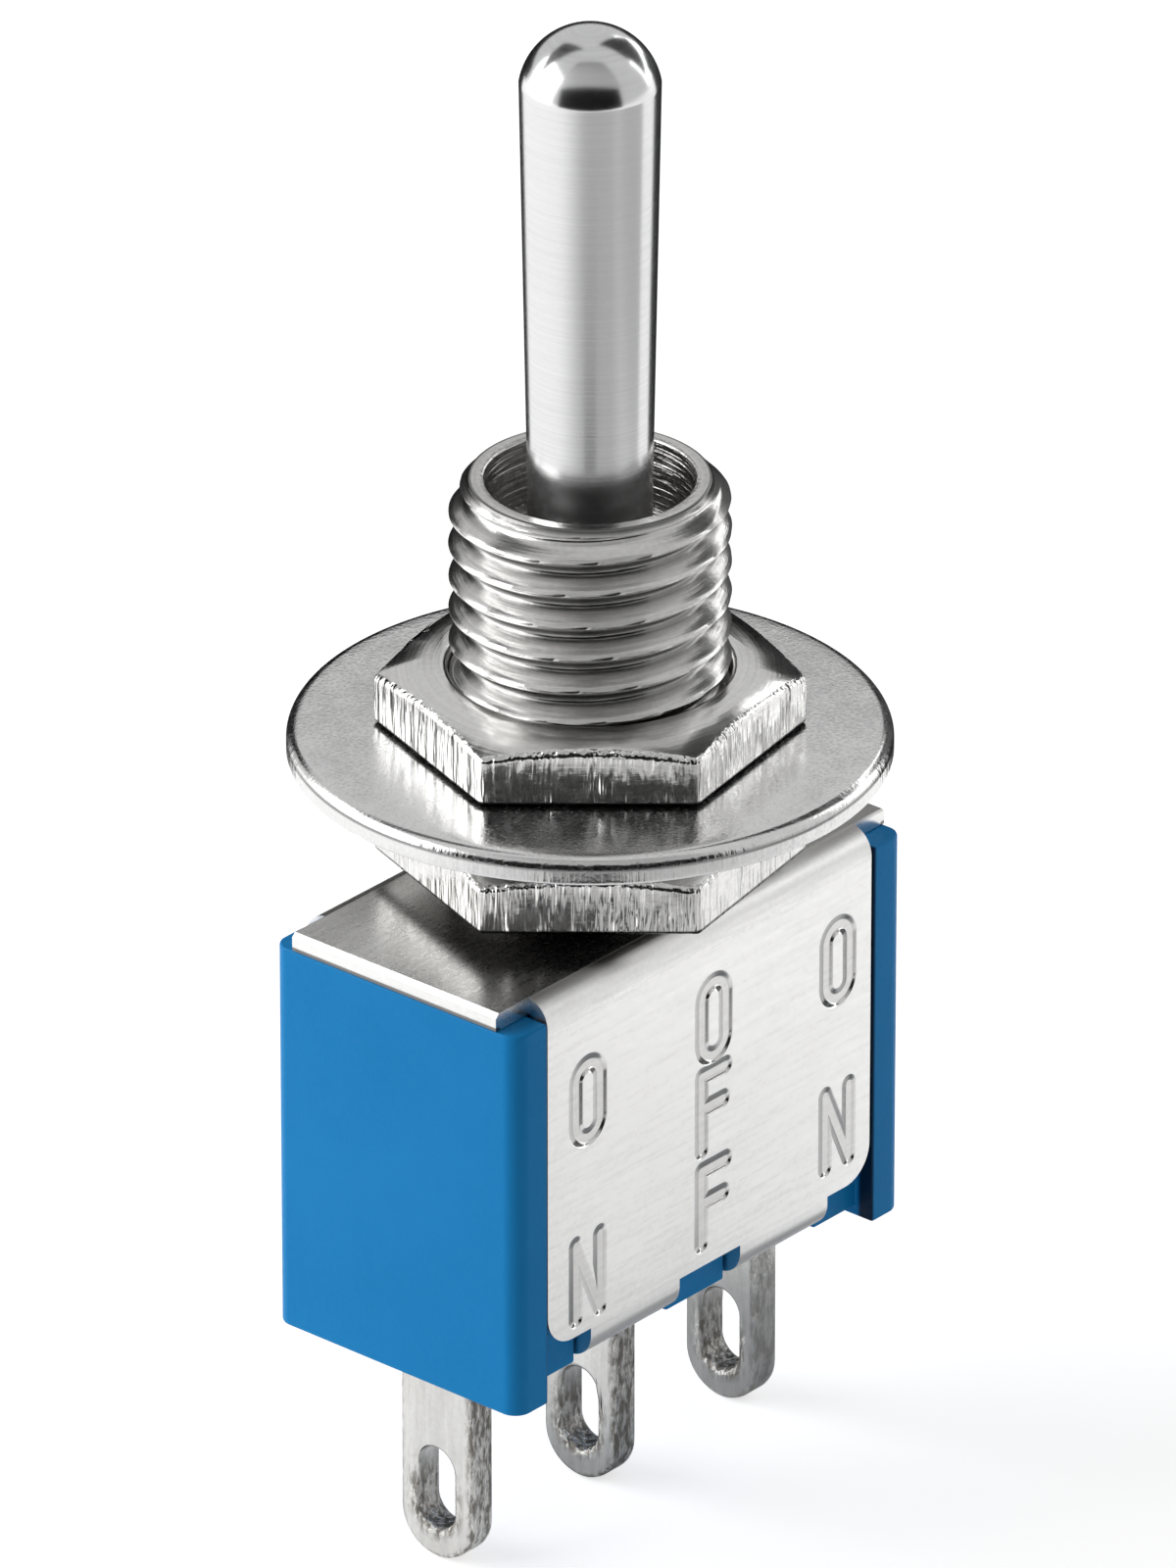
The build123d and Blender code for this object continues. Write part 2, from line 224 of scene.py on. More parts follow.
def make_drawn_grain():
    """Noise pulled out along the axes by Stretch: brush lines, striations or even grain."""
    group, given, result = new_group(
        "drawn_grain",
        [
            ("Point", VECTOR, None),
            ("Stretch", VECTOR, (1000, 1000, 1000)),
            ("Detail", FLOAT, 3.0),
            ("Contrast", FLOAT, 1.0),
        ],
        [("Lines", FLOAT), ("Height", FLOAT)],
    )
    stretched = vector_calc(group, "MULTIPLY", given.outputs["Point"], given.outputs["Stretch"])
    noise = add_node(
        group,
        "ShaderNodeTexNoise",
        {"Vector": stretched, "Scale": 1.0, "Detail": given.outputs["Detail"], "Roughness": FINE_NOISE},
    )
    centred = calc(group, "SUBTRACT", noise.outputs["Fac"], 0.5)
    strong = calc(group, "MULTIPLY", centred, given.outputs["Contrast"])
    group.links.new(calc(group, "ADD", strong, 0.5), result.inputs["Lines"])
    group.links.new(centred, result.inputs["Height"])
    return group


def make_turned_grain():
    """Rings left by a lathe tool: noise that varies with radius and height, and wanders a little."""
    group, given, result = new_group(
        "turned_grain",
        [("Point", VECTOR, None), ("Fineness", FLOAT, 12000.0), ("Detail", FLOAT, 3.0)],
        [("Lines", FLOAT), ("Height", FLOAT)],
    )
    wander_size = 250.0
    point = given.outputs["Point"]
    x, y, z = split(group, point)
    across = calc(group, "MULTIPLY", distance_from_axis(group, point), given.outputs["Fineness"])
    upward = calc(group, "MULTIPLY", z, given.outputs["Fineness"])
    wander = calc(group, "MULTIPLY", calc(group, "ADD", x, y), wander_size)
    noise = add_node(
        group,
        "ShaderNodeTexNoise",
        {
            "Vector": join(group, across, upward, wander),
            "Scale": 1.0,
            "Detail": given.outputs["Detail"],
            "Roughness": FINE_NOISE,
        },
    )
    group.links.new(noise.outputs["Fac"], result.inputs["Lines"])
    group.links.new(calc(group, "SUBTRACT", noise.outputs["Fac"], 0.5), result.inputs["Height"])
    return group


def make_plating():
    """Plated metal's tone: its own lines, slow clouds and fine specks, as one mask and one relief."""
    group, given, result = new_group(
        "plating",
        [
            ("Point", VECTOR, None),
            ("Lines", FLOAT, 0.5),
            ("Clouds", FLOAT, 260.0),
            ("Specks", FLOAT, 0.3),
            ("Speck Size", FLOAT, 9000.0),
        ],
        [("Mask", FLOAT), ("Height", FLOAT)],
    )
    line_share = 0.6
    mask_low, mask_high = 0.28, 0.72

    def noise(size, detail):
        sockets = {"Vector": given.outputs["Point"], "Scale": size, "Detail": detail}
        return add_node(group, "ShaderNodeTexNoise", {**sockets, "Roughness": SOFT_NOISE}).outputs["Fac"]

    lines = given.outputs["Lines"]
    cloud = noise(given.outputs["Clouds"], 2.0)
    specks = calc(group, "SUBTRACT", noise(given.outputs["Speck Size"], 1.0), 0.5)
    specks = calc(group, "MULTIPLY", specks, given.outputs["Specks"])
    line_part = calc(group, "MULTIPLY", lines, line_share)
    cloud_part = calc(group, "MULTIPLY", cloud, 1 - line_share)
    mask = chain(group, "ADD", line_part, cloud_part, specks)
    group.links.new(rescale(group, mask, mask_low, mask_high, 0.0, 1.0), result.inputs["Mask"])
    height = calc(group, "ADD", calc(group, "SUBTRACT", lines, 0.5), specks)
    group.links.new(height, result.inputs["Height"])
    return group


def make_nut_flats():
    """1 on a nut's six upright flats and 0 inside them, rising between the two reaches given."""
    group, given, result = new_group(
        "nut_flats",
        [
            ("Point", VECTOR, None),
            ("From", FLOAT, (NUT_HALF - 0.12) * MM),
            ("To", FLOAT, (NUT_HALF - 0.06) * MM),
        ],
        [("Mask", FLOAT)],
    )
    first_flat = 40.4
    reaches = []
    for turn in range(3):
        angle = radians(first_flat + 60 * turn)
        across = measure(group, "DOT_PRODUCT", given.outputs["Point"], (cos(angle), sin(angle), 0))
        reaches.append(calc(group, "ABSOLUTE", across))
    reach = chain(group, "MAXIMUM", *reaches)
    mask = rescale(group, reach, given.outputs["From"], given.outputs["To"], 0.0, 1.0)
    group.links.new(mask, result.inputs["Mask"])
    return group


def make_stroke():
    """Distance on the bracket's face from a straight stroke's middle line, in metres."""
    group, given, result = new_group(
        "stamp_stroke",
        [("Point", VECTOR, None), ("From", VECTOR, None), ("To", VECTOR, None)],
        [("Distance", FLOAT)],
    )
    along = vector_calc(group, "SUBTRACT", given.outputs["To"], given.outputs["From"])
    reach = vector_calc(group, "SUBTRACT", given.outputs["Point"], given.outputs["From"])
    shadow = measure(group, "DOT_PRODUCT", reach, along)
    whole = measure(group, "DOT_PRODUCT", along, along)
    share = add_node(group, "ShaderNodeClamp", {0: calc(group, "DIVIDE", shadow, whole)}).outputs[0]
    gap = vector_calc(group, "SUBTRACT", reach, scaled(group, along, share))
    group.links.new(measure(group, "LENGTH", gap), result.inputs["Distance"])
    return group


drawn_grain = make_drawn_grain()
turned_grain = make_turned_grain()
plating = make_plating()
nut_flats = make_nut_flats()
stamp_stroke = make_stroke()


def drawn(tree, point, stretch, detail, contrast=1.0):
    """Drawn grain at a point: its Lines and its Height."""
    sockets = {"Point": point, "Stretch": stretch, "Detail": detail, "Contrast": contrast}
    return use_group(tree, drawn_grain, sockets).outputs


# Finishes

def new_material(name, colour, metallic, roughness):
    """A material with one Principled shader and Object coordinates."""
    material = bpy.data.materials.new(name)
    material.use_nodes = True
    tree = material.node_tree
    shader = tree.nodes["Principled BSDF"]
    shader.inputs["Base Color"].default_value = colour
    shader.inputs["Metallic"].default_value = metallic
    shader.inputs["Roughness"].default_value = roughness
    point = add_node(tree, "ShaderNodeTexCoord").outputs["Object"]
    return SimpleNamespace(material=material, tree=tree, shader=shader, point=point, relief=None)


def add_relief(finish, height, depth):
    """Lay a height map over the relief so far; depth is its full height in mm."""
    sockets = {"Height": height, "Strength": 1.0, "Distance": depth * MM}
    if finish.relief:
        sockets["Normal"] = finish.relief.outputs["Normal"]
    finish.relief = add_node(finish.tree, "ShaderNodeBump", sockets)
    finish.tree.links.new(finish.relief.outputs["Normal"], finish.shader.inputs["Normal"])


def plated_metal(name, colour, roughness, grain, depth, **changes):
    """Plated metal: lines from a grain, and a plating mask that drives tone and roughness.

    grain is a stretch for drawn lines or one fineness for turned rings, and depth its relief in mm."""
    look = SimpleNamespace(tint=0.12, spread=0.1, clouds=260.0, specks=0.3, speck_size=9000.0)
    vars(look).update(changes)
    finish = new_material(name, (*colour, 1), 1.0, roughness)
    tree = finish.tree
    if isinstance(grain, tuple):
        lines = drawn(tree, finish.point, grain, detail=3.0)
    else:
        lines = use_group(tree, turned_grain, {"Point": finish.point, "Fineness": grain}).outputs
    skin = use_group(
        tree,
        plating,
        {
            "Point": finish.point,
            "Lines": lines["Lines"],
            "Clouds": look.clouds,
            "Specks": look.specks,
            "Speck Size": look.speck_size,
        },
    )
    mask = skin.outputs["Mask"]
    dark = tuple(part * (1 - look.tint) for part in colour)
    pale = tuple(min(1.0, part * (1 + look.tint / 2)) for part in colour)
    dull = roughness + look.spread
    bright = max(SMOOTHEST, roughness - look.spread / 2)
    finish.tone = blend_colours(tree, mask, (*dark, 1), (*pale, 1))
    finish.rough = rescale(tree, mask, 0.0, 1.0, dull, bright)
    finish.height = skin.outputs["Height"]
    tree.links.new(finish.tone, finish.shader.inputs["Base Color"])
    tree.links.new(finish.rough, finish.shader.inputs["Roughness"])
    add_relief(finish, finish.height, depth)
    return finish


def set_tone(finish, amount, colour):
    """Blend the finish's tone towards a colour where the amount says."""
    finish.tone = blend_colours(finish.tree, amount, finish.tone, (*colour, 1))
    finish.tree.links.new(finish.tone, finish.shader.inputs["Base Color"])


def scale_grain(finish, amount):
    """Make the grain's own relief stronger or fainter where the amount says."""
    strength = calc(finish.tree, "MULTIPLY", finish.height, amount)
    finish.tree.links.new(strength, finish.relief.inputs["Height"])


def scale_roughness(finish, *amounts):
    """Make the finish duller or brighter where the amounts say."""
    rough = chain(finish.tree, "MULTIPLY", finish.rough, *amounts)
    finish.tree.links.new(rough, finish.shader.inputs["Roughness"])


def make_lever_chrome():
    """Satin turned bat: fine rings below the crease, smoother on the dome, and painted shade on the neck
    down in the bushing.
    """
    finish = plated_metal(
        "lever_chrome",
        colour=(0.7, 0.7, 0.705),
        roughness=0.2,
        grain=16000.0,
        depth=0.0013,
        tint=0.09,
        spread=0.04,
        clouds=180.0,
        specks=0.15,
    )
    tree = finish.tree
    height = split(tree, finish.point)[2]
    crease = (DOME_CREASE - 0.01, DOME_CREASE + 0.01)
    scale_roughness(finish, fade(tree, height, *crease, 1.0, 0.9))
    scale_grain(finish, fade(tree, height, *crease, 1.0, 0.1))
    # Painted shade on the neck where it sinks into the bushing's bore.
    shade_in_bushing = fade(tree, height, BUSHING_RIM - 1.0, BUSHING_RIM - 0.82, 0.6, 0.0)
    set_tone(finish, shade_in_bushing, (0.2, 0.19, 0.165))
    return finish.material


def make_bushing_nickel():
    """Turned brass under nickel: rings everywhere, deeper in the bore, and painted shade in the hollows,
    under the nut and round the rim's edge.
    """
    finish = plated_metal(
        "bushing_nickel",
        colour=(0.66, 0.655, 0.645),
        roughness=0.2,
        grain=11000.0,
        depth=0.006,
        tint=0.2,
        spread=0.08,
    )
    tree = finish.tree
    radius = distance_from_axis(tree, finish.point)
    height = split(tree, finish.point)[2]
    scale_grain(finish, fade(tree, radius, BORE_RADIUS + 0.04, BORE_RADIUS + 0.16, 9.0, 1.0))
    # Painted shade: dark on the barrel just under the lower nut, in the thread's roots and in a ring at
    # the rim's edge.
    shade_under_nut = fade(tree, height, LOWER_NUT_FOOT + 0.03, LOWER_NUT_FOOT + 0.13, 1.0, 0.0)
    thread_root_shade = chain(
        tree,
        "MULTIPLY",
        fade(tree, radius, BARREL_RADIUS - 0.36, BARREL_RADIUS - 0.2, 0.6, 0.0),
        fade(tree, radius, BORE_RADIUS + 0.16, BORE_RADIUS + 0.21, 0.0, 1.0),
        fade(tree, height, CHAMFER_FOOT - 0.04, CHAMFER_FOOT + 0.06, 1.0, 0.0),
    )
    rim_edge_shade = chain(
        tree,
        "MULTIPLY",
        fade(tree, radius, CHAMFER_RADIUS - 0.08, CHAMFER_RADIUS - 0.04, 0.0, 0.7),
        fade(tree, radius, CHAMFER_RADIUS + 0.02, CHAMFER_RADIUS + 0.08, 1.0, 0.0),
        fade(tree, height, BUSHING_RIM - 0.15, BUSHING_RIM - 0.1, 0.0, 1.0),
    )
    set_tone(finish, chain(tree, "MAXIMUM", shade_under_nut, thread_root_shade, rim_edge_shade), (0.02, 0.02, 0.018))
    return finish.material


def make_nut_nickel():
    """Nuts: turned cone, flats with coarse broaching marks, and painted shade in the line where they
    seat.
    """
    finish = plated_metal(
        "nut_nickel",
        colour=(0.76, 0.755, 0.745),
        roughness=0.16,
        grain=13000.0,
        depth=0.003,
        tint=0.12,
        spread=0.06,
    )
    tree, point = finish.tree, finish.point
    flats = use_group(tree, nut_flats, {"Point": point}).outputs["Mask"]
    broached = drawn(tree, point, (5200, 5200, 620), detail=2.0)
    chatter = drawn(tree, point, (1500, 1500, 900), detail=2.0, contrast=2.6)
    strength = rescale(tree, chatter["Lines"], 0.2, 0.9, 0.35, 1.5)
    add_relief(finish, chain(tree, "MULTIPLY", broached["Height"], strength, flats), 0.12)
    height = split(tree, point)[2]
    outer = {"Point": point, "From": (NUT_HALF - 0.3) * MM, "To": (NUT_HALF - 0.1) * MM}
    rim = use_group(tree, nut_flats, outer).outputs["Mask"]
    # Painted shade: a near-black line along the foot of each nut's flats, where it seats.
    lines = [
        chain(
            tree,
            "MULTIPLY",
            fade(tree, height, foot + 0.1, foot + 0.15, 1.0, 0.0),
            fade(tree, height, foot - 0.3, foot - 0.2, 0.0, 1.0),
            rim,
        )
        for foot in (LOWER_NUT_FOOT, UPPER_NUT_FOOT)
    ]
    set_tone(finish, chain(tree, "MAXIMUM", *lines), (0.01, 0.01, 0.01))
    return finish.material


def make_washer_nickel():
    """Washers: sandy satin faces, and a sheared rim with upright marks and a painted line of shade round
    it.
    """
    finish = plated_metal(
        "washer_nickel",
        colour=(0.75, 0.75, 0.745),
        roughness=0.18,
        grain=(1500, 1500, 1500),
        depth=0.004,
        tint=0.06,
        specks=0.8,
        speck_size=12000.0,
    )
    tree, point = finish.tree, finish.point
    radius = distance_from_axis(tree, point)
    rim = fade(tree, radius, WASHER_RADIUS - 0.09, WASHER_RADIUS - 0.03, 0.0, 1.0)
    sheared = drawn(tree, point, (5200, 5200, 500), detail=3.0)
    add_relief(finish, calc(tree, "MULTIPLY", sheared["Height"], rim), 0.02)
    height = split(tree, point)[2]
    # Painted shade: a dark line round the rim below the rolled edge.
    rim_shade_line = chain(
        tree,
        "MULTIPLY",
        fade(tree, height, WASHER_TOP - 0.31, WASHER_TOP - 0.26, 0.0, 1.0),
        fade(tree, height, WASHER_TOP - 0.24, WASHER_TOP - 0.18, 1.0, 0.0),
        rim,
        0.8,
    )
    set_tone(finish, rim_shade_line, (0.12, 0.12, 0.12))
    return finish.material


def make_terminal_silver():
    """Silver plated strip: drawn down its faces, torn and pitted along its sheared edges."""
    finish = plated_metal(
        "terminal_silver",
        colour=(0.70, 0.69, 0.665),
        roughness=0.18,
        grain=(3600, 3600, 300),
        depth=0.016,
        tint=0.25,
        specks=0.15,
    )
    tree = finish.tree
    x, y, z = split(tree, finish.point)
    round_level = LUG_END + LUG_HALF_WIDE
    below_round = calc(tree, "MINIMUM", calc(tree, "SUBTRACT", z, round_level * MM), 0.0)
    from_middle = measure(tree, "LENGTH", join(tree, y, below_round, 0.0))
    edge = fade(tree, from_middle, LUG_HALF_WIDE - 0.16, LUG_HALF_WIDE - 0.02, 0.0, 1.0)
    cleaner_right_lug = fade(tree, x, 1.0, 3.5, 1.0, 0.45)
    outline = calc(tree, "MULTIPLY", edge, cleaner_right_lug)
    past_run = calc(tree, "ABSOLUTE", calc(tree, "SUBTRACT", z, EYELET_MIDDLE * MM))
    past_run = calc(tree, "MAXIMUM", calc(tree, "SUBTRACT", past_run, EYELET_HALF_RUN * MM), 0.0)
    from_eyelet = measure(tree, "LENGTH", join(tree, y, past_run, 0.0))
    ring = fade(tree, from_eyelet, EYELET_HALF_WIDE + 0.1, EYELET_HALF_WIDE + 0.34, 1.0, 0.0)
    lower_half = fade(tree, z, EYELET_MIDDLE - 0.075, EYELET_MIDDLE + 0.725, 1.0, 0.0)
    sheared = calc(tree, "MAXIMUM", outline, calc(tree, "MULTIPLY", ring, lower_half))
    lumps = drawn(tree, finish.point, (7500, 7500, 2600), detail=5.0, contrast=1.8)
    tear = rescale(tree, sheared, 0.0, 1.0, 0.05, 1.0)
    add_relief(finish, calc(tree, "MULTIPLY", lumps["Height"], tear), 0.12)
    pits = rescale(tree, lumps["Lines"], 0.38, 0.62, 0.85, 0.0)
    pits = calc(tree, "MULTIPLY", pits, rescale(tree, sheared, 0.0, 1.0, 0.06, 1.0))
    set_tone(finish, pits, (0.13, 0.115, 0.095))
    return finish.material


# The words stamped in the bracket's near side: letter, middle along X, middle height, in mm
STAMPS = (
    ("O", -4.0, -2.78), ("N", -4.0, -7.0),
    ("O", 0.1, -2.45), ("F", 0.1, -4.6), ("F", 0.1, -6.87),
    ("O", 4.2, -2.7), ("N", 4.2, -6.7),
)
LETTER_TALL = 1.75
LETTER_WIDE = 0.78


def letter_distance(tree, point, letter, x, z):
    """Distance from one letter's middle line: O is a long ring, N and F are straight strokes."""
    half_wide = LETTER_WIDE / 2
    half_tall = LETTER_TALL / 2
    arm_height = 0.1

    def stroke(x0, z0, x1, z1):
        start = Vector((x + x0, 0, z + z0)) * MM
        end = Vector((x + x1, 0, z + z1)) * MM
        ends = {"Point": point, "From": start, "To": end}
        return use_group(tree, stamp_stroke, ends).outputs["Distance"]

    if letter == "O":
        core = stroke(0, half_wide - half_tall, 0, half_tall - half_wide)
        return calc(tree, "ABSOLUTE", calc(tree, "SUBTRACT", core, half_wide * MM))
    left = stroke(-half_wide, -half_tall, -half_wide, half_tall)
    if letter == "N":
        slant = stroke(-half_wide, half_tall, half_wide, -half_tall)
        right = stroke(half_wide, -half_tall, half_wide, half_tall)
        return chain(tree, "MINIMUM", left, slant, right)
    top = stroke(-half_wide, half_tall, half_wide, half_tall)
    arm = stroke(-half_wide, arm_height, half_wide * 0.8, arm_height)
    return chain(tree, "MINIMUM", left, top, arm)


def make_bracket_steel():
    """Bright plated sheet: brushed flaps with the words stamped in the near one, and a duller plate;
    painted shade in the letters, over the plate and under its ends.
    """
    finish = plated_metal(
        "bracket_steel",
        colour=(0.82, 0.817, 0.808),
        roughness=0.2,
        grain=(700, 7000, 11000),
        depth=0.0018,
        tint=0.11,
        spread=0.06,
        clouds=150.0,
    )
    tree = finish.tree
    x, y, z = split(tree, finish.point)
    from_middle_x = calc(tree, "ABSOLUTE", x)
    from_middle_y = calc(tree, "ABSOLUTE", y)
    top_face = (-0.12, -0.02)
    bend_heights = (-0.9, -0.4)
    bend_reach = (BRACKET_HALF_DEEP - 0.58, BRACKET_HALF_DEEP - 0.28)
    dull_plate = fade(tree, z, *top_face, 1.0, 1.25)
    dull_bend = calc(
        tree,
        "MULTIPLY",
        fade(tree, z, *bend_heights, 1.0, 1.9),
        fade(tree, from_middle_y, *bend_reach, 0.53, 1.0),
    )
    scale_roughness(finish, dull_plate, calc(tree, "MAXIMUM", dull_bend, 1.0))
    scale_grain(finish, dull_plate)

    on_face = join(tree, x, 0.0, z)
    gaps = [letter_distance(tree, on_face, *stamp) for stamp in STAMPS]
    nearest = chain(tree, "MINIMUM", *gaps)
    groove_width = (0.08, 0.24)
    groove = fade(tree, nearest, *groove_width, 1.0, 0.0, interpolation_type="SMOOTHSTEP")
    near_side = fade(tree, y, 0.08 - BRACKET_HALF_DEEP, 0.18 - BRACKET_HALF_DEEP, 1.0, 0.0)
    groove = calc(tree, "MULTIPLY", groove, near_side)
    add_relief(finish, calc(tree, "MULTIPLY", groove, -1.0), 0.14)
    # Painted shade darkens the stamped grooves.
    set_tone(finish, calc(tree, "MULTIPLY", groove, 0.3), (0.3, 0.29, 0.28))

    # Painted shade: the plate's top darker than the flaps, a little less so at the -X end.
    plate = fade(tree, z, *top_face, 0.0, 1.0)
    plate_shade = fade(tree, x, 0.85 - PLATE_HALF_LONG, 3.15 - PLATE_HALF_LONG, 0.45, 0.8)
    set_tone(finish, calc(tree, "MULTIPLY", plate, plate_shade), (0.34, 0.335, 0.32))
    # Painted shade on the sheet's lower edge at the plate's two ends, over the housing.
    shade_under_end = calc(
        tree,
        "MULTIPLY",
        fade(tree, z, -0.34, -0.3, 1.0, 0.0),
        fade(tree, from_middle_x, PLATE_HALF_LONG - 0.15, PLATE_HALF_LONG - 0.1, 0.0, 0.8),
    )
    set_tone(finish, shade_under_end, (0.03, 0.03, 0.03))
    return finish.material


def make_housing_blue():
    """Moulded blue plastic: fine grain, faint flow clouds and painted shade in the narrow gap by the
    flaps.
    """
    finish = new_material("housing_blue", (0.003, 0.21, 0.55, 1), metallic=0.0, roughness=0.45)
    tree, shader, point = finish.tree, finish.shader, finish.point
    shader.inputs["Specular IOR Level"].default_value = 0.16
    cloud = drawn(tree, point, (300, 300, 300), detail=3.0, contrast=1.2)
    grain = drawn(tree, point, (7000, 7000, 7000), detail=2.0)
    deep = (0.003, 0.222, 0.56, 1)
    light = (0.009, 0.265, 0.635, 1)
    finish.tone = blend_colours(tree, cloud["Lines"], deep, light)
    across, inward = [calc(tree, "ABSOLUTE", part) for part in split(tree, point)[:2]]
    # Painted shade on the blue posts in the narrow gap beside each flap.
    beside_flap = fade(tree, across, 5.36, 5.42, 1.0, 0.0)
    behind_flap = fade(tree, inward, 3.0, 3.1, 0.0, 1.0)
    set_tone(finish, calc(tree, "MULTIPLY", beside_flap, behind_flap), (0.0, 0.02, 0.06))
    rough = rescale(tree, grain["Lines"], 0.2, 0.8, 0.55, 0.4)
    tree.links.new(rough, shader.inputs["Roughness"])
    add_relief(finish, grain["Height"], 0.006)
    return finish.material


def make_plunger_nylon():
    """Natural nylon with a slight milky variation."""
    finish = new_material("plunger_nylon", (0.78, 0.76, 0.70, 1), metallic=0.0, roughness=0.35)
    tree = finish.tree
    cloud = drawn(tree, finish.point, (900, 900, 900), detail=3.0, contrast=1.4)
    deep = (0.70, 0.67, 0.60, 1)
    light = (0.82, 0.80, 0.75, 1)
    tone = blend_colours(tree, cloud["Lines"], deep, light)
    tree.links.new(tone, finish.shader.inputs["Base Color"])
    add_relief(finish, cloud["Height"], 0.005)
    return finish.material


lever_chrome = make_lever_chrome()
bushing_nickel = make_bushing_nickel()
nut_nickel = make_nut_nickel()
washer_nickel = make_washer_nickel()
terminal_silver = make_terminal_silver()
bracket_steel = make_bracket_steel()
housing_blue = make_housing_blue()
plunger_nylon = make_plunger_nylon()
contact = plated_metal(
    "contact_silver", (0.80, 0.79, 0.76), roughness=0.25, grain=(4000, 4000, 4000), depth=0.004
)
copper = plated_metal(
    "rocker_copper", (0.72, 0.36, 0.22), roughness=0.3, grain=(600, 9000, 9000), depth=0.003
)
wire = plated_metal(
    "spring_steel", (0.45, 0.45, 0.46), roughness=0.3, grain=(3000, 3000, 3000), depth=0.003
)


# Meshes

def object_from(name, mesh, material, crease=30):
    """Link a finished mesh as an object at the origin, smooth up to a crease angle."""
    made = bpy.data.objects.new(name, mesh)
    scene.collection.objects.link(made)
    mesh.materials.clear()
    mesh.materials.append(material)
    mesh.shade_smooth()
    mesh.set_sharp_from_angle(angle=radians(crease))
    return made


def baked(piece):
    """Run a piece's modifiers and keep the plain mesh."""
    depsgraph = bpy.context.evaluated_depsgraph_get()
    done = bpy.data.meshes.new_from_object(piece.evaluated_get(depsgraph))
    piece.modifiers.clear()
    piece.data = done
    return piece


def lathe(name, outline, segments, clamp=None):
    """Turn a closed outline of (radius, height) in mm about Z into a mesh in metres.

    clamp may move a point of the outline once it is turned to an angle."""
    on_axis = 1e-6
    touching = 1e-8
    bm = bmesh.new()
    rings = []
    for radius, height in outline:
        if radius < on_axis:
            rings.append([bm.verts.new((0, 0, height * MM))])
            continue
        ring = []
        for k in range(segments):
            angle = 2 * pi * k / segments
            spot = Vector((radius * cos(angle), radius * sin(angle), height))
            if clamp:
                spot = clamp(spot)
            ring.append(bm.verts.new(spot * MM))
        rings.append(ring)
    for lower, upper in zip(rings, rings[1:] + rings[:1]):
        for k in range(segments):
            n = (k + 1) % segments
            corners = [
                lower[k % len(lower)],
                lower[n % len(lower)],
                upper[n % len(upper)],
                upper[k % len(upper)],
            ]
            unique = list(dict.fromkeys(corners))
            if len(unique) > 2:
                bm.faces.new(unique)
    bmesh.ops.remove_doubles(bm, verts=bm.verts, dist=touching)
    bmesh.ops.recalc_face_normals(bm, faces=bm.faces)
    mesh = bpy.data.meshes.new(name)
    bm.to_mesh(mesh)
    bm.free()
    return mesh


def arc(centre, radius, start, end, steps):
    """Points of an arc in the (radius, height) plane, angles in degrees."""
    angles = [radians(start + (end - start) * k / steps) for k in range(steps + 1)]
    return [(centre[0] + radius * cos(angle), centre[1] + radius * sin(angle)) for angle in angles]


def run(start, end, steps):
    """Evenly spaced points from start to end, without the last."""
    across = end[0] - start[0]
    upward = end[1] - start[1]
    return [(start[0] + across * k / steps, start[1] + upward * k / steps) for k in range(steps)]


def softened(node, material, width, segments=2, clamp=True):
    """Copy a CAD node, join its triangles into faces and round its edges by a width in mm."""
    touching = 2e-7
    flat_angle = 1.5
    crease = 35
    edge_angle = 28
    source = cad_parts[node]
    bm = bmesh.new()
    bm.from_mesh(source.data)
    bmesh.ops.remove_doubles(bm, verts=bm.verts, dist=touching)
    bmesh.ops.dissolve_limit(bm, angle_limit=radians(flat_angle), verts=bm.verts, edges=bm.edges)
    bmesh.ops.recalc_face_normals(bm, faces=bm.faces)
    mesh = bpy.data.meshes.new(node + "_soft")
    bm.to_mesh(mesh)
    bm.free()
    piece = object_from(node + "_soft", mesh, material, crease)
    rounding = piece.modifiers.new("rounding", "BEVEL")
    rounding.width = width * MM
    rounding.segments = segments
    rounding.limit_method = "ANGLE"
    rounding.angle_limit = radians(edge_angle)
    rounding.harden_normals = True
    rounding.use_clamp_overlap = clamp
    return baked(piece)


def hand_over(piece, node, body):
    """A finished piece takes a CAD node's place on its body."""
    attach(piece, body)
    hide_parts(node)


# Geometry Nodes: the screw thread

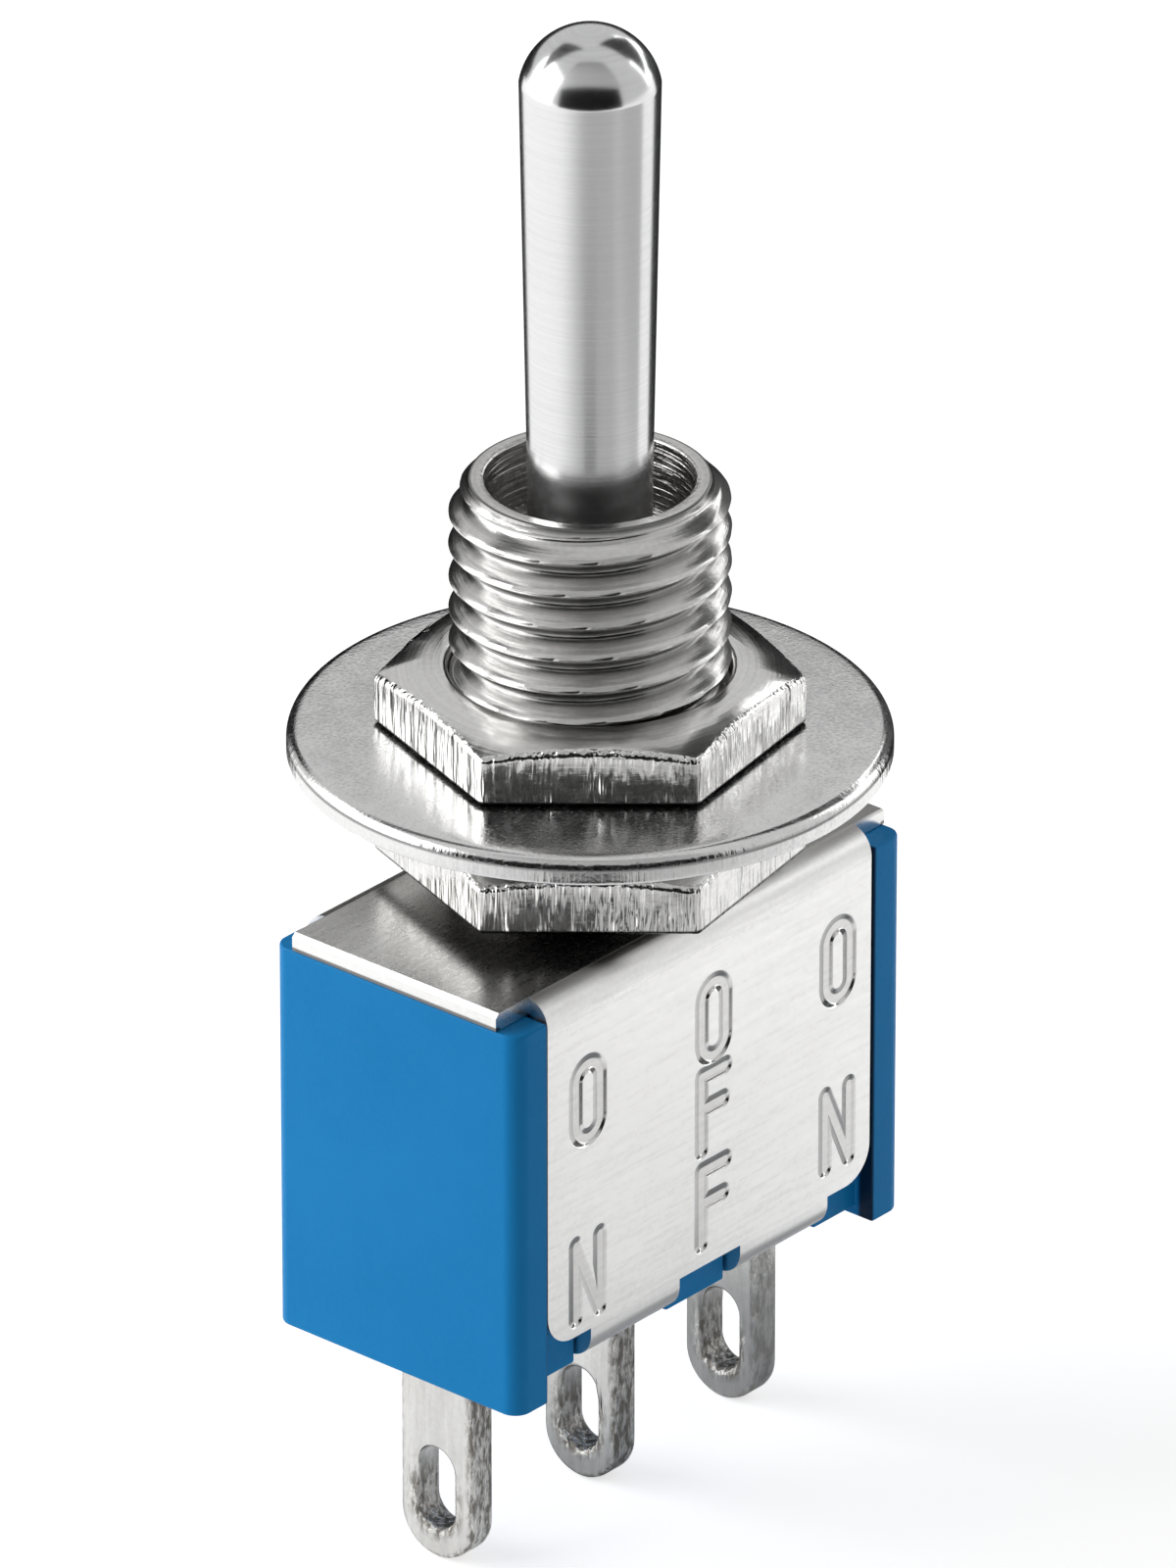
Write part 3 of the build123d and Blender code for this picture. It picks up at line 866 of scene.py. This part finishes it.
def make_screw_thread():
    """Cut a rounded helical thread into a lathe mesh's barrel, faded out at both ends."""
    valley_power = 0.8
    inside_limit = 2.57
    lead_in = (0.0, 0.4)
    lead_out = (-0.1, 0.3)
    tree = bpy.data.node_groups.new("screw_thread", "GeometryNodeTree")
    face = tree.interface
    face.new_socket("Geometry", in_out="INPUT", socket_type="NodeSocketGeometry")
    sizes = {
        "Pitch": THREAD_PITCH,
        "Depth": THREAD_DEPTH,
        "Barrel": BARREL_RADIUS,
        "Foot": 0.0,
        "Head": BUSHING_RIM,
    }
    for label, size in sizes.items():
        face.new_socket(label, in_out="INPUT", socket_type=FLOAT).default_value = size * MM
    face.new_socket("Material", in_out="INPUT", socket_type="NodeSocketMaterial")
    face.new_socket("Geometry", in_out="OUTPUT", socket_type="NodeSocketGeometry")
    given = tree.nodes.new("NodeGroupInput")
    result = tree.nodes.new("NodeGroupOutput")
    x, y, z = split(tree, add_node(tree, "GeometryNodeInputPosition").outputs[0])
    squares = [calc(tree, "MULTIPLY", part, part) for part in (x, y)]
    radius = calc(tree, "SQRT", calc(tree, "ADD", *squares))
    turn = calc(tree, "DIVIDE", calc(tree, "ARCTAN2", y, x), 2 * pi)
    phase = calc(tree, "SUBTRACT", calc(tree, "DIVIDE", z, given.outputs["Pitch"]), turn)
    swing = calc(tree, "COSINE", calc(tree, "MULTIPLY", phase, 2 * pi))
    valley = calc(tree, "MULTIPLY", calc(tree, "SUBTRACT", 1.0, swing), 0.5)
    groove = calc(tree, "POWER", valley, valley_power)
    outside = calc(tree, "GREATER_THAN", radius, inside_limit * MM)
    above = fade(tree, calc(tree, "SUBTRACT", z, given.outputs["Foot"]), *lead_in, 0.0, 1.0)
    below = fade(tree, calc(tree, "SUBTRACT", given.outputs["Head"], z), *lead_out, 0.0, 1.0)
    started = calc(tree, "MULTIPLY", outside, above)
    amount = calc(tree, "MULTIPLY", started, calc(tree, "MULTIPLY", below, groove))
    cut = calc(tree, "MULTIPLY", amount, given.outputs["Depth"])
    target = calc(tree, "SUBTRACT", given.outputs["Barrel"], cut)
    depth = calc(tree, "MAXIMUM", calc(tree, "SUBTRACT", radius, target), 0.0)
    depth = calc(tree, "MULTIPLY", depth, started)
    outward = vector_calc(tree, "NORMALIZE", join(tree, x, y, 0.0))
    shift = scaled(tree, outward, calc(tree, "MULTIPLY", depth, -1.0))
    shape = {"Geometry": given.outputs["Geometry"], "Offset": shift}
    moved = add_node(tree, "GeometryNodeSetPosition", shape).outputs[0]
    real = add_node(tree, "GeometryNodeRealizeInstances", {0: moved}).outputs[0]
    coat = {"Geometry": real, "Material": given.outputs["Material"]}
    coloured = add_node(tree, "GeometryNodeSetMaterial", coat).outputs[0]
    tree.links.new(coloured, result.inputs[0])
    return tree


def apply_tree(piece, tree, values):
    """Run a Geometry Nodes tree on a piece with its named inputs and keep the plain mesh."""
    modifier = piece.modifiers.new(tree.name, "NODES")
    modifier.node_group = tree
    for item in tree.interface.items_tree:
        if item.item_type == "SOCKET" and item.in_out == "INPUT" and item.name in values:
            modifier[item.identifier] = values[item.name]
    return baked(piece)


# The bushing

def clip_bushing(spot):
    """Flatten the flange to the bracket's inside, and open the two keyways for the trunnions."""
    flange_half_deep = 2.75
    keyway_half_wide = 0.56
    keyway_bottom = 2.5
    keyway_top = 6.0
    keyway_from = 1.5
    inner_limit = 2.65
    if spot.z < FLANGE_TOP + 0.01:
        spot.y = max(-flange_half_deep, min(flange_half_deep, spot.y))
    in_width = abs(spot.x) < keyway_half_wide
    in_reach = abs(spot.y) > keyway_from and sqrt(spot.x**2 + spot.y**2) < inner_limit
    in_height = FLANGE_FOOT - 0.05 < spot.z < keyway_top
    if in_width and in_reach and in_height:
        spot.y = keyway_bottom if spot.y > 0 else -keyway_bottom
    return spot


def make_bushing():
    """Threaded barrel with a chamfered rim, ringed bore, ball seat, and flange."""
    rim_round = 0.06
    bore_round = 0.05
    bore_foot = 7.55
    throat_radius = 1.95
    throat_top, throat_foot = 7.15, 6.62
    seat_radius = 2.19
    well_radius = 2.2
    well_top, well_foot = 5.58, 1.5
    mouth_radius = 2.6
    outline = run((BARREL_RADIUS, FLANGE_TOP), (BARREL_RADIUS, CHAMFER_FOOT), 190)
    outline += run((BARREL_RADIUS, CHAMFER_FOOT), (CHAMFER_RADIUS, BUSHING_RIM - 0.04), 24)
    outline += arc((CHAMFER_RADIUS - 0.04, BUSHING_RIM - rim_round), rim_round, 45, 90, 4)
    outline += arc((BORE_RADIUS + bore_round, BUSHING_RIM - bore_round), bore_round, 90, 180, 4)
    outline += run((BORE_RADIUS, BUSHING_RIM - 0.08), (BORE_RADIUS, bore_foot), 6)
    outline += [(BORE_RADIUS, bore_foot)]
    outline += run((throat_radius, throat_top), (throat_radius, throat_foot), 3)
    outline += arc((0, PIVOT_HEIGHT), seat_radius, 27.5, 0, 8)
    outline += [(well_radius, well_top)]
    outline += run((well_radius, well_top - 0.03), (well_radius, well_foot), 4)
    outline += [(well_radius, well_foot), (mouth_radius, FLANGE_FOOT)]
    outline += [(FLANGE_RADIUS, FLANGE_FOOT), (FLANGE_RADIUS, FLANGE_TOP)]
    mesh = lathe("bushing_threaded", outline, segments=240, clamp=clip_bushing)
    piece = object_from("bushing_threaded", mesh, bushing_nickel)
    thread = {
        "Pitch": THREAD_PITCH * MM,
        "Depth": THREAD_DEPTH * MM,
        "Barrel": BARREL_RADIUS * MM,
        "Foot": 0.2 * MM,
        "Head": (BUSHING_RIM + 0.1) * MM,
        "Material": bushing_nickel,
    }
    apply_tree(piece, make_screw_thread(), thread)
    piece.data.shade_smooth()
    piece.data.set_sharp_from_angle(angle=radians(42))
    hand_over(piece, "bushing", "base")


make_bushing()


# The lever

def make_lever():
    """Tapered bat with a domed tip, the pivot ball, the hollow stem and the two trunnions."""
    dome_radius = 1.523
    crease_radius = 1.497
    neck_radius = 1.33
    neck_foot = 7.32
    ball_radius = 2.15
    stem_radius = 1.0
    stem_top, stem_foot = 3.68, -1.2
    stem_round = 0.05
    bore_radius = 0.72
    bore_end = 4.0
    trunnion_radius = 0.5
    trunnion_long = 0.5
    trunnion_reach = 2.2
    outline = arc((0, LEVER_TIP - dome_radius), dome_radius, 90, 10.5, 26)
    outline += run((crease_radius, DOME_CREASE), (neck_radius, BUSHING_RIM), 30)
    outline += run((neck_radius, BUSHING_RIM), (neck_radius, neck_foot), 4)
    outline += arc((0, PIVOT_HEIGHT), ball_radius, 51.8, -62.3, 24)
    outline += run((stem_radius, stem_top), (stem_radius, stem_foot + stem_round), 5)
    outline += [(stem_radius - stem_round, stem_foot)]
    outline += run((bore_radius, stem_foot), (bore_radius, bore_end), 4)
    outline += [(bore_radius, bore_end), (0, bore_end)]
    mesh = lathe("lever_bat", outline, segments=128)
    bm = bmesh.new()
    bm.from_mesh(mesh)
    for side in (-1, 1):
        spot = Matrix.Translation((0, side * trunnion_reach * MM, PIVOT_HEIGHT * MM))
        bmesh.ops.create_cone(
            bm,
            cap_ends=True,
            segments=32,
            radius1=trunnion_radius * MM,
            radius2=trunnion_radius * MM,
            depth=trunnion_long * MM,
            matrix=spot @ Matrix.Rotation(radians(90), 4, "X"),
        )
    bm.to_mesh(mesh)
    bm.free()
    piece = object_from("lever_bat", mesh, lever_chrome, crease=24)
    hand_over(piece, "lever", "lever")


make_lever()


# Nuts and washers

for nut in ("upper_nut", "lower_nut"):
    rounded = softened(nut, nut_nickel, width=0.13, segments=3, clamp=False)
    hand_over(rounded, nut, "base")
rounded = softened("lock_washer", washer_nickel, width=0.05)
hand_over(rounded, "lock_washer", "base")


def make_washer():
    """Flat washer: rolled upper edge, sharper lower edge."""
    hole_round = 0.05
    rolled = 0.3
    rolled_from = WASHER_RADIUS - rolled
    cut_round = 0.06
    cut_from = WASHER_RADIUS - cut_round
    rim_head = WASHER_TOP - rolled - 0.02
    rim_foot = WASHER_FOOT + cut_round
    outline = [(WASHER_HOLE, WASHER_FOOT)]
    outline += arc((WASHER_HOLE + hole_round, WASHER_TOP - hole_round), hole_round, 180, 90, 3)
    outline += run((WASHER_HOLE + hole_round, WASHER_TOP), (rolled_from, WASHER_TOP), 12)
    outline += arc((rolled_from, WASHER_TOP - rolled), rolled, 90, 0, 10)
    outline += run((WASHER_RADIUS, rim_head), (WASHER_RADIUS, rim_foot), 3)
    outline += arc((cut_from, rim_foot), cut_round, 0, -90, 3)
    outline += run((cut_from, WASHER_FOOT), (WASHER_HOLE, WASHER_FOOT), 8)
    mesh = lathe("washer_disc", outline, segments=256)
    piece = object_from("washer_disc", mesh, washer_nickel)
    hand_over(piece, "washer", "base")


make_washer()


# Bracket, housing and terminals

rounded = softened("bracket", bracket_steel, width=0.09, segments=3)
hand_over(rounded, "bracket", "base")
rounded = softened("housing", housing_blue, width=0.05)
hand_over(rounded, "housing", "base")
for lug in ("terminal_left", "terminal_centre", "terminal_right"):
    rounded = softened(lug, terminal_silver, width=0.14, segments=3, clamp=False)
    hand_over(rounded, lug, "base")


# Parts inside keep their CAD shapes

def dress(node, material):
    """Give a CAD node its finish."""
    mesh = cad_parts[node].data
    mesh.materials.clear()
    mesh.materials.append(material)


for node in ("contact_left", "contact_right", "rocker_contact_left", "rocker_contact_right"):
    dress(node, contact.material)
dress("rocker", copper.material)
dress("plunger", plunger_nylon)
dress("plunger_spring", wire.material)


# The studio

def matt_finish(name, shade):
    """A plain matt grey for the studio's floor and cards."""
    finish = new_material(name, (shade, shade, shade, 1), metallic=0.0, roughness=0.9)
    finish.shader.inputs["Specular IOR Level"].default_value = 0.0
    return finish


def studio_object(name, bm, finish):
    """Link a studio mesh as an object with its finish."""
    mesh = bpy.data.meshes.new(name)
    bm.to_mesh(mesh)
    bm.free()
    mesh.materials.append(finish.material)
    made = bpy.data.objects.new(name, mesh)
    scene.collection.objects.link(made)
    return made


def make_floor():
    """A pale floor that shines for the camera, with two dim patches that only reflections see."""
    half_size = 3.0
    seen_strength = 0.62
    mirrored_strength = 0.72
    finish = matt_finish("studio_floor", 0.8)
    tree, shader = finish.tree, finish.shader

    def patch(right, away, start, end, middle_value):
        """1 outside a round patch, falling to its middle's value; places are in mm from the axis."""
        middle = (view_right * right + level_away * away) * MM
        gap = measure(tree, "DISTANCE", finish.point, (middle.x, middle.y, FLOOR_LEVEL * MM))
        return fade(tree, gap, start, end, middle_value, 1.0, interpolation_type="SMOOTHSTEP")

    path = add_node(tree, "ShaderNodeLightPath")
    seen = calc(tree, "MULTIPLY", path.outputs["Is Camera Ray"], seen_strength)
    in_front = patch(right=14, away=-58, start=22, end=70, middle_value=0.12)
    underneath = patch(right=4, away=3, start=5, end=12, middle_value=0.0)
    mirrored = chain(tree, "MULTIPLY", in_front, underneath, mirrored_strength)
    mirrored = calc(tree, "MULTIPLY", path.outputs["Is Glossy Ray"], mirrored)
    shader.inputs["Emission Color"].default_value = (1, 1, 1, 1)
    tree.links.new(calc(tree, "MAXIMUM", seen, mirrored), shader.inputs["Emission Strength"])
    bm = bmesh.new()
    level = Matrix.Translation((0, 0, FLOOR_LEVEL * MM))
    bmesh.ops.create_grid(bm, x_segments=1, y_segments=1, size=half_size, matrix=level)
    studio_object("studio_floor", bm, finish)


def make_world():
    """White to the camera, a little dimmer in reflections, and a plain grey fill for the rest."""
    mirrored_strength = 0.7
    fill_strength = 0.26
    world = bpy.data.worlds.new("studio_world")
    scene.world = world
    world.use_nodes = True
    tree = world.node_tree
    backdrop = tree.nodes["Background"]
    path = add_node(tree, "ShaderNodeLightPath")
    clear = calc(tree, "MAXIMUM", path.outputs["Is Camera Ray"], path.outputs["Is Transmission Ray"])
    mirrored = calc(tree, "MULTIPLY", path.outputs["Is Glossy Ray"], mirrored_strength)
    strength = chain(tree, "MAXIMUM", clear, mirrored, fill_strength)
    tree.links.new(strength, backdrop.inputs["Strength"])
    backdrop.inputs["Color"].default_value = (1, 1, 1, 1)


def softbox(name, direction, distance, size, power):
    """A soft lamp aimed at the switch, in metres; direction is (right, up, towards the camera)."""
    data = bpy.data.lights.new(name, "AREA")
    data.shape = "RECTANGLE"
    data.size, data.size_y = size
    data.energy = power
    lamp = bpy.data.objects.new(name, data)
    scene.collection.objects.link(lamp)
    right, up, near = direction
    away = (view_right * right + view_up * up - view_forward * near).normalized()
    lamp.matrix_world = away.to_track_quat("Z", "Y").to_matrix().to_4x4()
    lamp.location = away * distance


CARD_FOOT = -14.5
MAT_LEVEL = -14.4
BLACK = 0.012
DARK = 0.05


def studio_card(name, corners, shade):
    """A grey card, unseen by the camera: it only draws its shape on the plating.

    Each corner is in mm: to the camera's right, level away from the camera, and up."""
    bm = bmesh.new()
    points = []
    for right, away, up in corners:
        place = view_right * right + level_away * away + Vector((0, 0, up))
        points.append(bm.verts.new(place * MM))
    bm.faces.new(points)
    card = studio_object(name, bm, matt_finish(name, shade))
    card.visible_camera = False
    card.visible_diffuse = False
    card.visible_shadow = False


def upright(name, left, right, foot, head, shade=BLACK):
    """A card standing between two (right, away) places."""
    studio_card(name, [(*left, foot), (*right, foot), (*right, head), (*left, head)], shade)


def mat(name, side, away, height, shade=BLACK):
    """A card lying level, over a range to the side and a range away."""
    spread = [(side[0], away[0]), (side[1], away[0]), (side[1], away[1]), (side[0], away[1])]
    studio_card(name, [(*spot, height) for spot in spread], shade)


make_floor()
make_world()
softbox("key_lamp", (-1.0, 0.3, 0.15), distance=0.5, size=(0.5, 0.45), power=2.5)
softbox("fill_lamp", (0.72, 0.58, -0.38), distance=0.5, size=(0.42, 0.34), power=0.8)
upright("card_left_low", (-27, 30), (-9, 30), CARD_FOOT, 13)
upright("card_left_inner", (-9, 30), (-3, 30), -8, 13)
upright("card_right_low", (9, 30), (42, 30), CARD_FOOT, 13, shade=DARK)
upright("card_right_mid", (13, 30), (24, 30), 13, 19, shade=DARK)
upright("card_right_inner", (3, 30), (9, 30), -8, 13)
upright("card_left_tall", (-40, 30), (-22, 30), 13, 24)
upright("card_right_tall", (24, 30), (42, 30), 13, 26)
upright("card_far", (-55, 60), (55, 60), CARD_FOOT, 28)
mat("card_behind_floor", (-3.8, 6), (28, 60), MAT_LEVEL, shade=0.5)
mat("card_near_nut", (-8, 8), (-48, -37), MAT_LEVEL, shade=0.25)
mat("card_near_lower_nut", (-8, 8), (-37, -26), MAT_LEVEL)
mat("card_far_right", (45, 85), (-50, 5), MAT_LEVEL, shade=0.95)
upright("card_front", (-200, -160), (200, -160), CARD_FOOT, 130)
upright("card_front_high", (-230, -160), (230, -160), 130, 700, shade=0.75)
upright("card_up_right", (15, 28), (75, 28), 31, 100, shade=DARK)
upright("card_up_left", (-80, 14), (-12, 14), 38, 105, shade=0.15)

scene.view_settings.view_transform = "Standard"
